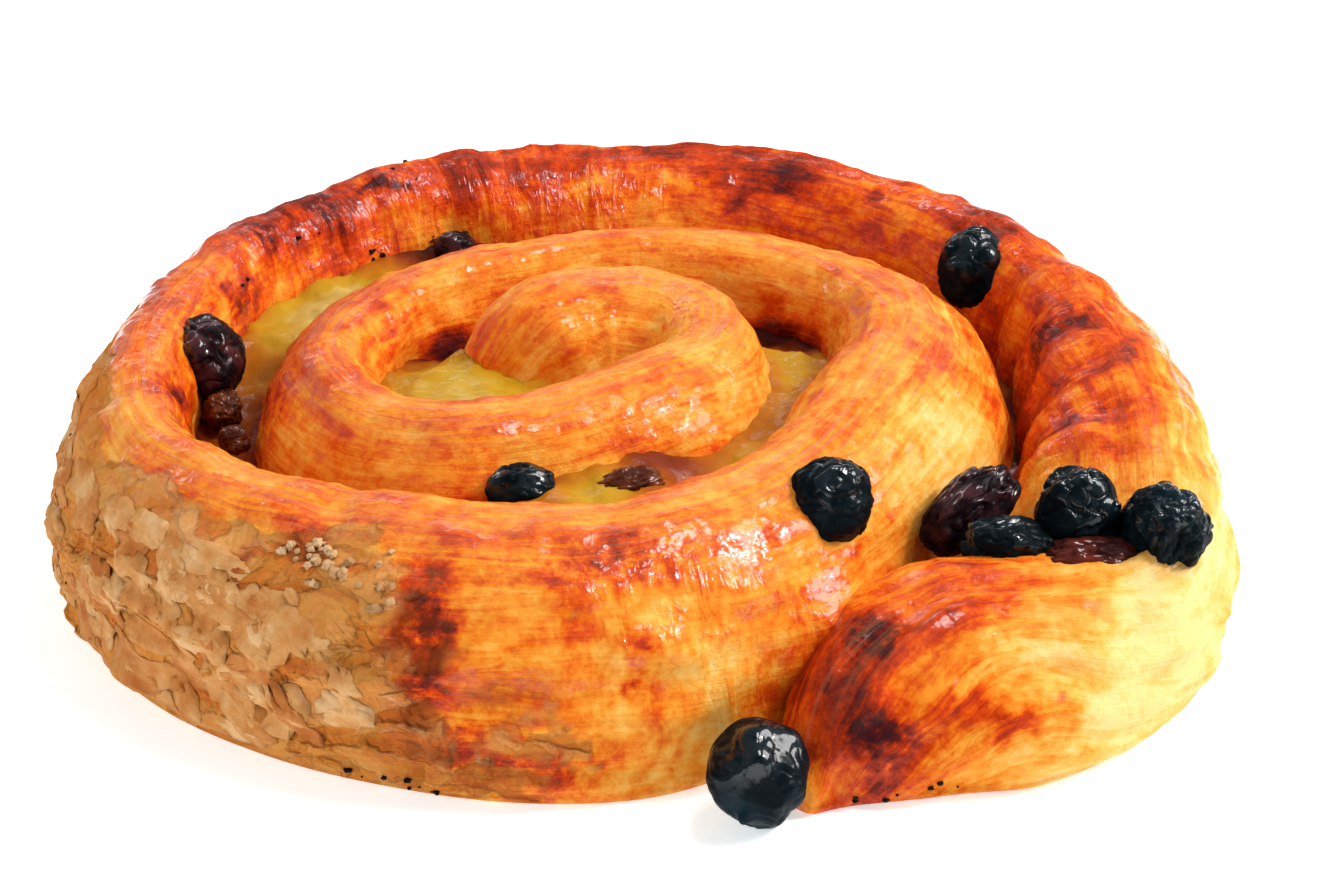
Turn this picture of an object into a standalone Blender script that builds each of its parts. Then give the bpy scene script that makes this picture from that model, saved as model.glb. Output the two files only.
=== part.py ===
"""A pain aux raisins: one strip of laminated dough rolled into a flat coil, custard between the turns, and raisins.

Seen from above the strip winds clockwise from the middle to the loose end at the front. Sizes are in millimetres
and are turned into metres where the meshes are made. X is to the right and -Y is the front, as in the picture.
"""

import math
import random

import bmesh
import bpy
from mathutils import Vector, noise

MM = 0.001
SIZE = 118.0                       # across the coil, wider than the custard
STRIP_STEP = 4.0                   # distance between two sections of the strip
CLEARANCE = 0.35                   # gap between pieces that touch
FLOOR_GAP = 0.4                    # the custard doesn't reach the table
UPPER_POINTS, LOWER_POINTS = 6, 2  # points of one side of a section, above and below its widest place

# Places along the strip's crest: x, y, height of the crest, how far the dough reaches inwards and outwards, and
# how far up its inner side is widest, as a part of the height
MIDDLE_TURN = [(-17.5, 4.5, 25.4, 8, 3.5, 0.5), (-12.5, 8.2, 26.6, 11, 4.5, 0.5), (-6, 11, 27.2, 12.5, 5, 0.5),
               (0, 11.3, 27.2, 12.2, 5, 0.55), (5.5, 8, 27, 10.6, 6, 0.7), (8.5, 1, 27, 7.8, 6, 0.78),
               (7, -6, 27, 6.5, 7.5, 0.78), (1.5, -11.5, 27, 6, 11, 0.7), (-4, -16, 27, 5, 10, 0.6),
               (-11, -19.5, 26.5, 4.5, 10, 0.6), (-18, -20.5, 26, 5, 10.5, 0.6)]
SECOND_TURN = [(-24.5, -17.5, 25.5, 5, 9, 0.6), (-29.5, -11, 25.5, 5, 8.5, 0.6), (-32, -2.5, 25, 5.5, 8, 0.6),
               (-30.5, 6.5, 25, 5.5, 8, 0.6), (-26, 14, 25, 5, 8, 0.6), (-19, 20, 25, 4.5, 9, 0.6),
               (-10, 24.5, 25, 4.5, 9.5, 0.6), (0, 26.5, 25, 5, 9.5, 0.6), (9, 25.5, 25, 5.5, 10, 0.6),
               (18, 21, 25, 5.5, 11, 0.6), (24.5, 13, 25.5, 6, 12.5, 0.6), (26.5, 3.5, 26, 6.8, 12.5, 0.6),
               (24.5, -6, 26, 7.2, 13.5, 0.6), (20.5, -16, 25.5, 7, 13, 0.6), (15.5, -25.5, 25, 6, 11, 0.6)]
OUTER_TURN = [(8.5, -33, 24.5, 5, 12, 0.6), (-0.5, -37.5, 24, 4.5, 14.5, 0.6), (-10, -38.5, 24, 4.5, 14.5, 0.6),
              (-20, -37, 24, 4.5, 13.5, 0.6), (-30, -34, 24, 4.5, 12, 0.6), (-40, -28, 24, 4.5, 10.5, 0.6),
              (-47.5, -19.5, 24, 4.5, 9, 0.6), (-50, -9, 24, 4.5, 9, 0.6), (-50.5, 2, 24.3, 4.5, 8.5, 0.6),
              (-49, 14, 24.6, 5, 8, 0.6), (-45.5, 26, 25, 5.5, 7.5, 0.55), (-38.5, 37, 25.2, 6, 7, 0.5),
              (-29, 46, 25.2, 7, 6.5, 0.5), (-18, 51, 25.2, 9.5, 6, 0.45), (-6, 53.5, 25.2, 12, 6, 0.45),
              (6, 53.5, 25.2, 12, 6, 0.45), (18, 50, 25.2, 10.5, 6.5, 0.45), (29, 43, 25, 9, 7, 0.45),
              (39, 32, 24.6, 8, 7.5, 0.45), (45.5, 19, 24.3, 7, 8.5, 0.45), (49, 6, 24, 9, 9.5, 0.45),
              (51, -7, 23, 12, 8.5, 0.45), (51.5, -17, 21, 15, 7.5, 0.45)]
LOOSE_END = [(51, -25, 18, 16.5, 7.5, 0.5), (48.5, -32, 16.5, 15, 7, 0.5), (41, -36.5, 16.5, 11, 10, 0.5),
             (33, -37.5, 16.5, 9, 14, 0.5), (27, -39.5, 16, 7.5, 13.5, 0.5), (21.5, -43.5, 14, 5.2, 10.5, 0.45),
             (17, -48, 10.5, 3.4, 6.5, 0.42), (15, -52, 6, 3.2, 4, 0.42)]
OUTER_WIDEST = 0.42                # how far up the outer side is widest, as a part of the height
FOLD = Vector((0.5, -2.5, 0))      # the strip turns tightly about this point near the middle
FOLD_CORE = 2.3                    # dough closes the eye of the fold out to this radius
FOLD_CORE_TOP = 20.5

# Level of the custard at a few places
CUSTARD_LEVELS = [(-18, -2, 20.5), (-21.5, 7, 16.5), (0, 18, 16), (13, 16, 17), (18, 11.5, 17.5), (14, 4, 20.5),
                  (14.5, -6, 20), (12, -17, 19.5), (8, -26, 18), (-1, -25, 21.2), (-9, -28, 21), (-20, -32, 15),
                  (-37, -14, 13), (-41, 4, 14), (-35, 20, 17), (-22, 34, 17), (0, 41, 15), (24, 36, 14),
                  (38, 22, 12), (39, -5, 10), (34, -22, 13.5), (-4, -6, 18)]
CUSTARD_GRID = 3.0

# Colours, as red, green and blue from 0 to 1, and roughness
LOOKS = {"dough": ((0.72, 0.42, 0.12), 0.45), "custard": ((0.86, 0.60, 0.10), 0.3),
         "blue_black": ((0.020, 0.018, 0.035), 0.35), "purple": ((0.07, 0.025, 0.04), 0.35),
         "red": ((0.16, 0.03, 0.015), 0.35), "brown": ((0.22, 0.08, 0.02), 0.3)}

# Raisins: name, centre, half sizes, turn about the vertical in degrees, lean in degrees, colour
RAISINS = [("raisin_back_right", (37.0, 26.2, 20.4), (4.2, 4.4, 5.0), 0, 0, "blue_black"),
           ("raisin_on_wall", (18.4, -31.4, 21.0), (4.4, 3.6, 4.7), 20, -8, "blue_black"),
           ("raisin_at_front", (10.8, -53.8, 6.1), (5.3, 5.0, 5.6), 0, 0, "blue_black"),
           ("raisin_end_left", (32.3, -25.6, 17), (5.6, 3.6, 3.2), 40, 0, "purple"),
           ("raisin_end_small", (35.5, -31, 16.5), (4.8, 3.0, 2.7), 5, 0, "blue_black"),
           ("raisin_end_middle", (42.5, -27.6, 18), (4.4, 4.2, 4.8), 10, 0, "blue_black"),
           ("raisin_end_right", (50.4, -30.4, 17.6), (4.5, 4.2, 4.6), -10, 0, "blue_black"),
           ("raisin_end_low", (43.2, -32.6, 15.4), (5.2, 2.6, 1.6), 0, 0, "red"),
           ("raisin_left", (-45.2, 4.6, 19.5), (3.4, 4.6, 3.9), 10, 0, "red"),
           ("raisin_left_low", (-43.2, -0.6, 16.4), (2.6, 3.2, 2.3), 0, 0, "brown"),
           ("raisin_in_front_groove", (-11, -28.3, 20.6), (3.6, 2.8, 2.7), 15, 0, "blue_black"),
           ("raisin_half_sunk", (-0.6, -26.5, 20.8), (3.6, 2.4, 2.0), 20, 0, "brown"),
           ("raisin_back_left", (-21.8, 38.6, 18.2), (2.6, 2.0, 2.0), 0, 0, "purple"),
           ("raisin_in_left_groove", (-41.3, -8.6, 16.4), (1.9, 2.2, 1.7), 0, 0, "brown")]


def blend(rows, places):
    """Smooth values between rows, at fractional row numbers."""
    result = []
    for place in places:
        i = min(int(place), len(rows) - 2)
        t = place - i
        before, here, there, after = (rows[min(max(i + k, 0), len(rows) - 1)] for k in (-1, 0, 1, 2))
        result.append([0.5 * (2 * b + (c - a) * t + (2 * a - 5 * b + 4 * c - d) * t**2 + (3 * b - a - 3 * c + d) * t**3)
                       for a, b, c, d in zip(before, here, there, after)])
    return result


def stations():
    """The strip's places again, at even distances along it."""
    rows = MIDDLE_TURN + SECOND_TURN + OUTER_TURN + LOOSE_END
    fine = blend(rows, [k * (len(rows) - 1) / 2000 for k in range(2001)])
    length = [0.0]
    for a, b in zip(fine, fine[1:]):
        length.append(length[-1] + math.hypot(b[0] - a[0], b[1] - a[1]))
    count = round(length[-1] / STRIP_STEP)
    picked, k = [], 0
    for step in range(count + 1):
        goal = length[-1] * step / count
        while k < len(length) - 1 and length[k] < goal - 1e-9:
            k += 1
        picked.append(fine[k])
    return picked


def outward(rows, index):
    """Unit direction away from the middle, square to the strip. It is taken over a longer piece further out."""
    span = 1 + round(3 * index / len(rows))
    a, b = rows[max(index - span, 0)], rows[min(index + span, len(rows) - 1)]
    heading = Vector((b[0] - a[0], b[1] - a[1], 0)).normalized()
    side = Vector((-heading.y, heading.x, 0))
    x, y = rows[index][:2]
    if index < 0.25 * len(rows):
        near = min(1.0, max(0.0, (x + 1) / 3)) * min(1.0, max(0.0, (y + 10) / 4))
        side = side.lerp((Vector((x, y, 0)) - FOLD).normalized(), near).normalized()
    return side, heading


def section(height, inner, outer, inner_widest):
    """Points (across, up) round one section, from under the inner side over the crest to under the outer side."""
    tuck = min(0.16 * height, 0.4 * inner, 0.4 * outer)
    points = []
    for side, reach, widest, boxy in ((-1, inner, inner_widest * height, 0.75), (1, outer, OUTER_WIDEST * height, 1)):
        half = []
        for k in range(LOWER_POINTS):
            turn = 0.5 * math.pi * k / LOWER_POINTS
            half.append((side * (reach - tuck * (1 - math.sin(turn))), widest * (1 - math.cos(turn))))
        for k in range(UPPER_POINTS):
            turn = 0.5 * math.pi * k / UPPER_POINTS
            half.append((side * reach * math.cos(turn) ** boxy, widest + (height - widest) * math.sin(turn)))
        points += half + [(0.0, height)] if side < 0 else half[::-1]
    return points


def relief(point, along, lean, height):
    """How far the crust stands out: ragged flakes low on the outside, blisters, and ribs across the right slope."""
    on_outside = lean > 0 and math.hypot(point.x, point.y) > 44
    wall = min(1.0, lean * 1.5) * min(1.0, max(0.0, (22 - height) / 6)) * min(1.0, height / 3) if on_outside else 0.0
    flaky = 1.0 if point.x < 5 else 0.4
    bumps = noise.noise(Vector((point.x, point.y, 1.6 * point.z)) * 0.16)
    sheets = noise.noise(Vector((along * 0.13, point.z * 0.36, 4.0)))
    rib = math.sin(along / 8.5 * 2 * math.pi) if point.x > 36 and -18 < point.y < 32 and lean < 0 else 0.0
    return (0.9 if on_outside else 0.45) * bumps + wall * flaky * 1.6 * sheets + 0.5 * rib * min(1.0, height / 12)


def strip(name, grow=0.0):
    """The rolled strip as one closed solid, with rounded ends. A grown one makes room for it in the custard."""
    rows = stations()
    mesh = bmesh.new()
    rings = []
    along = 0.0
    last = len(rows) - 1
    for index, (x, y, height, inner, outer, inner_widest) in enumerate(rows):
        side, heading = outward(rows, index)
        if index:
            along += math.hypot(x - rows[index - 1][0], y - rows[index - 1][1])
        end = min(index, last - index)
        slim = (0.66, 0.9, 0.98)[end] if end < 3 else 1.0
        ring = []
        for across, up in section(height * (0.7 + 0.3 * slim), inner * slim, outer * slim, inner_widest):
            lean = across / (outer if across > 0 else inner)
            place = Vector((x, y, up)) + side * across
            out = (side * lean + Vector((0, 0, max(0.0, 1 - abs(lean))))).normalized()
            if up > 1.0:
                place += out * relief(place, along, lean, up) * slim
            place += out * grow
            if grow and up < 1.0:
                place.z = -1.0
            ring.append(mesh.verts.new(place * MM))
        rings.append(ring)
    size = len(rings[0])
    for a, b in zip(rings, rings[1:]):
        for k in range(size):
            mesh.faces.new((a[k], b[k], b[(k + 1) % size], a[(k + 1) % size]))
    for ring, way in ((rings[0], -1), (rings[-1], 1)):
        centre = sum((v.co for v in ring), Vector()) / size
        heading = outward(rows, 0 if way < 0 else last)[1]
        tip = mesh.verts.new(centre + heading * way * (1.6 + grow) * MM)
        for k in range(size):
            pair = (ring[k], ring[(k + 1) % size])
            mesh.faces.new((*pair[::way], tip))
    return finish(mesh, name, "cutters" if grow else "pain_aux_raisins")


def finish(mesh, name, group="cutters"):
    """Makes an object of the mesh, in the collection that group names."""
    bmesh.ops.recalc_face_normals(mesh, faces=mesh.faces)
    bmesh.ops.triangulate(mesh, faces=[f for f in mesh.faces if len(f.verts) > 3])
    if mesh.calc_volume(signed=True) < 0:
        bmesh.ops.reverse_faces(mesh, faces=mesh.faces)
    data = bpy.data.meshes.new(name)
    mesh.to_mesh(data)
    mesh.free()
    obj = bpy.data.objects.new(name, data)
    if group not in bpy.data.collections:
        bpy.context.scene.collection.children.link(bpy.data.collections.new(group))
    bpy.data.collections[group].objects.link(obj)
    return obj


def custard_level(x, y):
    total = weight = 0.0
    for px, py, level in CUSTARD_LEVELS:
        w = 1 / (4 + (x - px)**2 + (y - py)**2) ** 2
        total += w * level
        weight += w
    return total / weight + 0.7 * noise.noise(Vector((x, y, 0)) * 0.22)


def custard_slab():
    """A slab wider than the coil, with the custard's uneven top."""
    mesh = bmesh.new()
    cells = 2 * math.ceil(SIZE / 2 / CUSTARD_GRID)
    bmesh.ops.create_grid(mesh, x_segments=cells, y_segments=cells, size=cells / 2 * CUSTARD_GRID)
    for vertex in mesh.verts:
        vertex.co.z = custard_level(vertex.co.x, vertex.co.y)
    rim = [e for e in mesh.edges if e.is_boundary]
    low = bmesh.ops.extrude_edge_only(mesh, edges=rim)["geom"]
    for vertex in (g for g in low if isinstance(g, bmesh.types.BMVert)):
        vertex.co.z = FLOOR_GAP
    bmesh.ops.contextual_create(mesh, geom=[g for g in low if isinstance(g, bmesh.types.BMEdge)])
    bmesh.ops.scale(mesh, vec=(MM, MM, MM), verts=mesh.verts)
    return finish(mesh, "custard", "pain_aux_raisins")


def coil_outline():
    """A block up to the crest of the outer turn: custard further out is dropped."""
    mesh = bmesh.new()
    outline = [row[:2] for row in OUTER_TURN + LOOSE_END[:4]] + [(24, -29), (15, -26)]
    bottom = mesh.faces.new([mesh.verts.new((x * MM, y * MM, -2 * MM)) for x, y in outline])
    top = bmesh.ops.extrude_face_region(mesh, geom=[bottom])["geom"]
    bmesh.ops.translate(mesh, vec=(0, 0, 32 * MM), verts=[g for g in top if isinstance(g, bmesh.types.BMVert)])
    return finish(mesh, "coil_outline")


def raisin(name, centre, half, turn, lean, seed, grow=0.0):
    """A dried grape: an egg with long wrinkles, a pinched stalk end and small dents. A grown one is a cutter."""
    chance = random.Random(seed)
    mesh = bmesh.new()
    bmesh.ops.create_icosphere(mesh, subdivisions=3 if min(half) > 3 else 2, radius=1.0)
    folds, phase = chance.randint(5, 7), chance.uniform(0, 6.28)
    offset = Vector((chance.uniform(0, 50), chance.uniform(0, 50), 0))
    for vertex in mesh.verts:
        unit = vertex.co.normalized()
        around = math.atan2(unit.z, unit.y)
        dent = noise.noise(unit * 1.9 + offset)
        size = 1 + 0.05 * math.sin(folds * around + phase + 1.5 * unit.x) * (1 - unit.x**2) + 0.16 * dent
        size -= 0.12 * max(0.0, unit.x - 0.8) / 0.2
        p = Vector((unit.x * half[0], unit.y * half[1], unit.z * half[2])) * size
        p += Vector((p.x / half[0]**2, p.y / half[1]**2, p.z / half[2]**2)).normalized() * grow
        vertex.co = p * MM
    obj = finish(mesh, name, "cutters" if grow else "pain_aux_raisins")
    obj.location = Vector(centre) * MM
    obj.rotation_euler = math.radians(lean), 0, math.radians(turn)
    return obj


def fold_core(name, radius, top):
    """The dough pressed together in the eye of the tight turn; a wider one clears the custard there."""
    mesh = bmesh.new()
    bmesh.ops.create_cone(mesh, cap_ends=True, segments=12, radius1=radius * MM, radius2=radius * MM, depth=top * MM)
    bmesh.ops.translate(mesh, vec=(FOLD + Vector((0, 0, top / 2))) * MM, verts=mesh.verts)
    return finish(mesh, name)


def close(one, other):
    """Whether two raisins may touch."""
    return (Vector(one[1]) - Vector(other[1])).length < max(one[2]) + max(other[2]) + CLEARANCE


def cut(target, cutters, operation="DIFFERENCE"):
    """Takes the cutters out of the target, or keeps only what is inside them."""
    for cutter in cutters:
        modifier = target.modifiers.new("cut", "BOOLEAN")
        modifier.operation, modifier.solver, modifier.object = operation, "EXACT", cutter
        bpy.context.view_layer.update()
        shaped = bpy.data.meshes.new_from_object(target.evaluated_get(bpy.context.evaluated_depsgraph_get()))
        target.modifiers.clear()
        target.data = shaped
        shaped.name = target.name


def keep_largest(target):
    """Drops crumbs that a cut left beside the main piece."""
    mesh = bmesh.new()
    mesh.from_mesh(target.data)
    left = set(mesh.verts)
    groups = []
    while left:
        stack, group = [left.pop()], []
        while stack:
            vertex = stack.pop()
            group.append(vertex)
            for edge in vertex.link_edges:
                other = edge.other_vert(vertex)
                if other in left:
                    left.remove(other)
                    stack.append(other)
        groups.append(group)
    groups.sort(key=len)
    bmesh.ops.delete(mesh, geom=[v for g in groups[:-1] for v in g], context="VERTS")
    bmesh.ops.dissolve_degenerate(mesh, edges=mesh.edges, dist=0.02 * MM)
    bmesh.ops.triangulate(mesh, faces=mesh.faces)
    mesh.to_mesh(target.data)
    mesh.free()


def colour(obj, look):
    """A material with the look's colour and roughness, on a smooth-shaded object."""
    material = bpy.data.materials.new(look)
    material.use_nodes = True
    shader = material.node_tree.nodes["Principled BSDF"]
    shader.inputs["Base Color"].default_value = (*LOOKS[look][0], 1)
    shader.inputs["Roughness"].default_value = LOOKS[look][1]
    shader.inputs["Metallic"].default_value = 0
    obj.data.materials.clear()
    obj.data.materials.append(material)
    obj.data.shade_smooth()
    obj.data.set_sharp_from_angle(angle=math.radians(50))


def centre_on_origin(objects):
    """Hangs the pieces on an empty that puts the middle of their box over the origin and their base on the table."""
    bpy.context.view_layer.update()
    corners = [obj.matrix_world @ v.co for obj in objects for v in obj.data.vertices]
    low, high = (Vector([pick(c[k] for c in corners) for k in range(3)]) for pick in (min, max))
    middle = bpy.data.objects.new("middle", None)
    bpy.data.collections["pain_aux_raisins"].objects.link(middle)
    for obj in objects:
        obj.parent = middle
    middle.location = -(low.x + high.x) / 2, -(low.y + high.y) / 2, -low.z
    print("moved by mm", [round(m / MM, 3) for m in middle.location])


def remove(objects):
    for obj in objects:
        bpy.data.objects.remove(obj, do_unlink=True)


def main():
    remove(list(bpy.data.objects))
    dough = strip("dough")
    custard, outline = custard_slab(), coil_outline()
    core = fold_core("core", FOLD_CORE, FOLD_CORE_TOP)
    plug = fold_core("plug", FOLD_CORE + 2 * CLEARANCE, 2 * FOLD_CORE_TOP)
    wide_strip = strip("wide_strip", CLEARANCE)
    raisins = [raisin(*row[:5], seed=n) for n, row in enumerate(RAISINS)]
    wide_raisins = [raisin("wide_" + row[0], *row[1:5], seed=n, grow=CLEARANCE) for n, row in enumerate(RAISINS)]
    cut(custard, [outline], "INTERSECT")
    cut(custard, [plug, wide_strip] + wide_raisins)
    cut(dough, [core], "UNION")
    cut(dough, wide_raisins)
    for k, obj in enumerate(raisins):
        cut(obj, [wide for row, wide in zip(RAISINS[:k], wide_raisins) if close(row, RAISINS[k])])
    keep_largest(custard)
    keep_largest(dough)
    remove([outline, core, plug, wide_strip] + wide_raisins)
    bpy.data.collections.remove(bpy.data.collections["cutters"])
    colour(dough, "dough")
    colour(custard, "custard")
    for obj, row in zip(raisins, RAISINS):
        colour(obj, row[5])
    centre_on_origin([dough, custard] + raisins)


main()
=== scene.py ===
"""A pain aux raisins on a pale floor: a glazed coil of laminated dough with custard and raisins."""

import math
import random
from functools import partial
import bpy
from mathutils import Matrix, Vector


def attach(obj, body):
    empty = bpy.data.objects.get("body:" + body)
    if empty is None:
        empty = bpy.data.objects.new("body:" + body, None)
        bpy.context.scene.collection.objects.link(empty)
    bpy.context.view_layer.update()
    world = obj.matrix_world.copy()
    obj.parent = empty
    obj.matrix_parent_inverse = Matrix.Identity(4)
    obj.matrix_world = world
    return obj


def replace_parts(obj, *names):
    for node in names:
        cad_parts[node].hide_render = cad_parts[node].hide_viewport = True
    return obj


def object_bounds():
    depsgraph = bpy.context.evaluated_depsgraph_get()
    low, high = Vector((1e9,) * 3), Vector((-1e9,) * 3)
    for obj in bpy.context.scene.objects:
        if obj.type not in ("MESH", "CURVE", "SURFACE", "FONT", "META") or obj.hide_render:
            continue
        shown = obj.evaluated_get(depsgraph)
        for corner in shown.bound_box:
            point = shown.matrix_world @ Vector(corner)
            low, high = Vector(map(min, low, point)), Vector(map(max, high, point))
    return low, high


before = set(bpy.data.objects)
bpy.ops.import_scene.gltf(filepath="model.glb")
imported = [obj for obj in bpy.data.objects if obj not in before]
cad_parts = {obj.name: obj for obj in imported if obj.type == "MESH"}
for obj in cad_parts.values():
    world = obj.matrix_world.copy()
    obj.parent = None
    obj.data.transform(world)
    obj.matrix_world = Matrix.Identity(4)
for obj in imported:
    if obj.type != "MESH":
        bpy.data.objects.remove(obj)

from types import SimpleNamespace

import bpy
import numpy as np
from mathutils import Vector, noise
from mathutils.bvhtree import BVHTree

CAD_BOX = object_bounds()
MM = 0.001
SHIFT = np.array([0.229, -0.786, 0.0])  # mm, by which the coil is moved to have its box in the middle
BOX_MARGIN = 0.00005  # m

# The dough strip
WIDE_STEP, FINE_STEP = 0.85, 0.45  # mm between two sections; the dry left wall gets the fine step
INNER_POINTS, OUTER_POINTS = 34, 60
OUTER_WIDEST = 0.42  # how far up the outer side is widest, as a part of the height
TIP = 1.6  # mm that the rounded tips stand past the first and last section
TAPER = 9.6  # mm over which the strip slims towards its tips
FOLD = np.array([0.5, -2.5])  # the eye of the tightest turn
OUTER_REACH, BACK_REACH = 44, 38  # mm from the middle, beyond which the outer wall and the back turn lie
RIB_STEP = 8.5  # mm between two ribs across the right turn

# Places along the strip's crest: x, y, height of the crest, how far the dough reaches inwards and outwards,
# and how far up its inner side is widest, as a part of the height
MIDDLE_TURN = [
    (-17.5, 4.5, 25.4, 8, 3.5, 0.5), (-12.5, 8.2, 26.6, 11, 4.5, 0.5), (-6, 11, 27.2, 12.5, 5, 0.5),
    (0, 11.3, 27.2, 12.2, 5, 0.55), (5.5, 8, 27, 10.6, 6, 0.7), (8.5, 1, 27, 7.8, 6, 0.78),
    (7, -6, 27, 6.5, 7.5, 0.78), (1.5, -11.5, 27, 6, 11, 0.7), (-4, -16, 27, 5, 10, 0.6),
    (-11, -19.5, 26.5, 4.5, 10, 0.6), (-18, -20.5, 26, 5, 10.5, 0.6)]
SECOND_TURN = [
    (-24.5, -17.5, 25.5, 5, 9, 0.6), (-29.5, -11, 25.5, 5, 8.5, 0.6), (-32, -2.5, 25, 5.5, 8, 0.6),
    (-30.5, 6.5, 25, 5.5, 8, 0.6), (-26, 14, 25, 5, 8, 0.6), (-19, 20, 25, 4.5, 9, 0.6),
    (-10, 24.5, 25, 4.5, 9.5, 0.6), (0, 26.5, 25, 5, 9.5, 0.6), (9, 25.5, 25, 5.5, 10, 0.6),
    (18, 21, 25, 5.5, 11, 0.6), (24.5, 13, 25.5, 6, 12.5, 0.6), (26.5, 3.5, 26, 6.8, 12.5, 0.6),
    (24.5, -6, 26, 7.2, 13.5, 0.6), (20.5, -16, 25.5, 7, 13, 0.6), (15.5, -25.5, 25, 6, 11, 0.6)]
OUTER_TURN = [
    (8.5, -33, 24.5, 5, 12, 0.6), (-0.5, -37.5, 24, 4.5, 14.5, 0.6), (-10, -38.5, 24, 4.5, 14.5, 0.6),
    (-20, -37, 24, 4.5, 13.5, 0.6), (-30, -34, 24, 4.5, 12, 0.6), (-40, -28, 24, 4.5, 10.5, 0.6),
    (-47.5, -19.5, 24, 4.5, 9, 0.6), (-50, -9, 24, 4.5, 9, 0.6), (-50.5, 2, 24.3, 4.5, 8.5, 0.6),
    (-49, 14, 24.6, 5, 8, 0.6), (-45.5, 26, 25, 5.5, 7.5, 0.55), (-38.5, 37, 25.2, 6, 7, 0.5),
    (-29, 46, 25.2, 7, 6.5, 0.5), (-18, 51, 25.2, 9.5, 6, 0.45), (-6, 53.5, 25.2, 12, 6, 0.45),
    (6, 53.5, 25.2, 12, 6, 0.45), (18, 50, 25.2, 10.5, 6.5, 0.45), (29, 43, 25, 9, 7, 0.45),
    (39, 32, 24.6, 8, 7.5, 0.45), (45.5, 19, 24.3, 7, 8.5, 0.45), (49, 6, 24, 9, 9.5, 0.45),
    (51, -7, 23, 12, 8.5, 0.45), (51.5, -17, 21, 15, 7.5, 0.45)]
LOOSE_END = [
    (51, -25, 18, 16.5, 7.5, 0.5), (48.5, -32, 16.5, 15, 7, 0.5), (41, -36.5, 16.5, 11, 10, 0.5),
    (33, -37.5, 16.5, 9, 14, 0.5), (27, -39.5, 16, 7.5, 13.5, 0.5), (21.5, -43.5, 14, 5.2, 10.5, 0.45),
    (17, -48, 10.5, 3.4, 6.5, 0.42), (15, -52, 6, 3.2, 4, 0.42)]

# Level of the custard at a few places
CUSTARD_LEVELS = [
    (-18, -3, 19.5), (-19.3, 3.2, 20.2), (-13, 2, 18.5), (-22, 7, 17.5), (-20.5, 12.5, 14.5), (0, 18, 16),
    (13, 16, 16.5), (18, 11.5, 17), (14, 4, 20), (14.5, -6, 20), (12, -17, 19.5), (8, -26, 18),
    (-1, -25, 21.2), (-9, -28, 21), (-20, -32, 15), (-37, -14, 13), (-41, 4, 14), (-35, 20, 17),
    (-22, 34, 17), (0, 41, 15), (24, 36, 14), (38, 22, 12), (39, -5, 10), (34, -22, 11.5), (29, -28, 10),
    (-4, -6, 18)]

# Its colour at a few places: 0 is yellow, 0.5 amber and 1 dark brown; by the hollows the dark is painted
# shade
CUSTARD_TINTS_AND_SHADE = [
    (-17, -1.5, 0.10), (-21, 4, 0.16), (-21.5, 10.5, 1), (-18.5, 12.5, 1), (-15, 2, 0.06), (16, 2, 0.2),
    (17, 8, 0.14), (13, -6, 0.22), (17, 14.5, 0.9), (10, -17, 0.28), (-4, -27, 0.2), (3, -26, 0.65),
    (-10, -28, 0.45), (-34, 31, 0.02), (-38, 26, 0.05), (-40, 18, 0.12), (-42, 11, 0.4), (-43, 2, 0.6),
    (-43, -3, 0.66), (-41, -10, 0.62), (-23, 37, 0.85), (-30, 34, 0.4), (0, 41, 0.5), (36, 22, 0.55),
    (39, -5, 0.55), (34, -22, 0.5), (0, 18, 0.5), (-4, -6, 0.4)]

# Raisins: CAD node, centre, half sizes, turn about the vertical in degrees, lean in degrees, colour, how deep
# the folds are and how rough the skin is
RAISINS = [("raisin_back_right", (37, 25.2, 21), (4, 4.2, 4.9), 0, 0, "blue_black", 0.35, 0.5),
           ("raisin_on_wall", (18.4, -32.8, 21.7), (4.2, 3.6, 4.6), 20, -8, "blue_black", 0.6, 0.8),
           ("raisin_at_front", (11.2, -54.2, 5.1), (5, 4.7, 5.2), 250, -30, "blue_black", 0.25, 0.15),
           ("raisin_end_left", (32.3, -26, 17.4), (6.3, 3.2, 3.2), 38, 24, "purple", 1.3, 0.5),
           ("raisin_end_small", (35.6, -31.2, 16.1), (4.8, 3, 2.9), 5, -8, "blue_black", 1.1, 1.3),
           ("raisin_end_middle", (42.5, -27.9, 17.4), (4.3, 4.2, 5.2), 10, 0, "blue_black", 1.1, 0.2),
           ("raisin_end_right", (50.4, -30.4, 17.6), (4.7, 4.2, 4.4), -60, 75, "blue_black", 0.8, 1.7),
           ("raisin_end_low", (43.2, -32.8, 15.6), (5.4, 2.6, 2), 0, 0, "red", 1.6, 2.2),
           ("raisin_left", (-45.5, 4.6, 19.6), (3.9, 5.3, 4.4), 190, 0, "purple", 0.6, 0.9),
           ("raisin_left_low", (-43.6, -0.4, 16.2), (2.2, 3.8, 2), 15, 0, "brown", 1.6, 2.5),
           ("raisin_in_front_groove", (-11, -28.3, 20.6), (3.6, 2.8, 2.7), 15, 0, "blue_black", 1, 0.6),
           ("raisin_half_sunk", (-0.6, -26.8, 20.4), (3.7, 2.2, 1.7), 20, 0, "brown", 1.8, 2.5),
           ("raisin_back_left", (-21.8, 38.6, 18.2), (2.6, 2, 2), 0, 0, "purple", 0.8, 1),
           ("raisin_in_left_groove", (-41.3, -8.6, 16.4), (1.7, 2.3, 1.3), 20, 0, "brown", 1.5, 2.5)]

RAISIN_SEED = 1796067280  # of the noise that bends their wrinkles, which unseeded differs from run to run

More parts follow.
